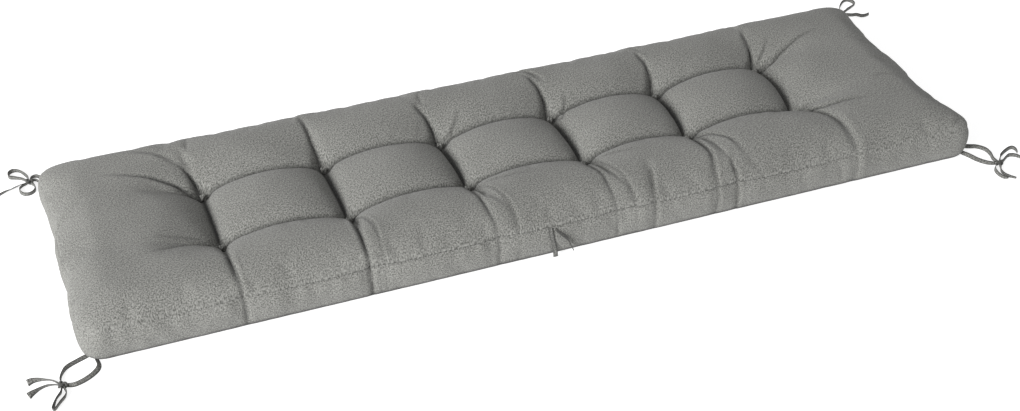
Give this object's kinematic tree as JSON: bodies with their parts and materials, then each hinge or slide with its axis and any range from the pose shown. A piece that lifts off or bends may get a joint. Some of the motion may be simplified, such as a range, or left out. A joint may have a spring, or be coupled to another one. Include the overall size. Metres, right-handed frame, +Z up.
{
  "type": "sun lounger cushion",
  "caption": "Long boxed lounger cushion, filled and tufted into pads, with narrow cloth ties at its corners and mid sides.",
  "frame": {"origin": "on the resting face, below the middle of the cushion's body", "axes": "+X along the cushion, +Y across it to the back, +Z up from the resting face to the tufted face"},
  "size_m": [2.0264, 0.7569, 0.102],
  "materials": {
    "cover": "matte plain weave, melange grey",
    "twine": "matte twisted twine",
    "tie_cloth": "matte plain weave, folded strip"
  },
  "bodies": {
    "root": {"cushion_body": "cover", "tie_back_left_end_a": "tie_cloth", "tie_back_left_knot": "tie_cloth", "tie_back_left_loop_a": "tie_cloth", "tie_back_left_loop_b": "tie_cloth", "tie_back_left_strap_a": "tie_cloth", "tie_back_left_strap_b": "tie_cloth", "tie_back_middle_a": "tie_cloth", "tie_back_middle_b": "tie_cloth", "tie_back_right_end_a": "tie_cloth", "tie_back_right_knot": "tie_cloth", "tie_back_right_loop_a": "tie_cloth", "tie_back_right_strap_a": "tie_cloth", "tie_back_right_strap_b": "tie_cloth", "tie_front_left_end_a": "tie_cloth", "tie_front_left_end_b": "tie_cloth", "tie_front_left_knot": "tie_cloth", "tie_front_left_loop_a": "tie_cloth", "tie_front_left_strap_a": "tie_cloth", "tie_front_left_strap_b": "tie_cloth", "tie_front_middle_a": "tie_cloth", "tie_front_middle_b": "tie_cloth", "tie_front_right_end_a": "tie_cloth", "tie_front_right_end_b": "tie_cloth", "tie_front_right_end_c": "tie_cloth", "tie_front_right_end_d": "tie_cloth", "tie_front_right_knot": "tie_cloth", "tie_front_right_strap_a": "tie_cloth", "tie_front_right_strap_b": "tie_cloth", "tuft_back_1": "twine", "tuft_back_2": "twine", "tuft_back_3": "twine", "tuft_back_4": "twine", "tuft_back_5": "twine", "tuft_back_6": "twine", "tuft_front_1": "twine", "tuft_front_2": "twine", "tuft_front_3": "twine", "tuft_front_4": "twine", "tuft_front_5": "twine", "tuft_front_6": "twine"}
  },
  "joints": []
}
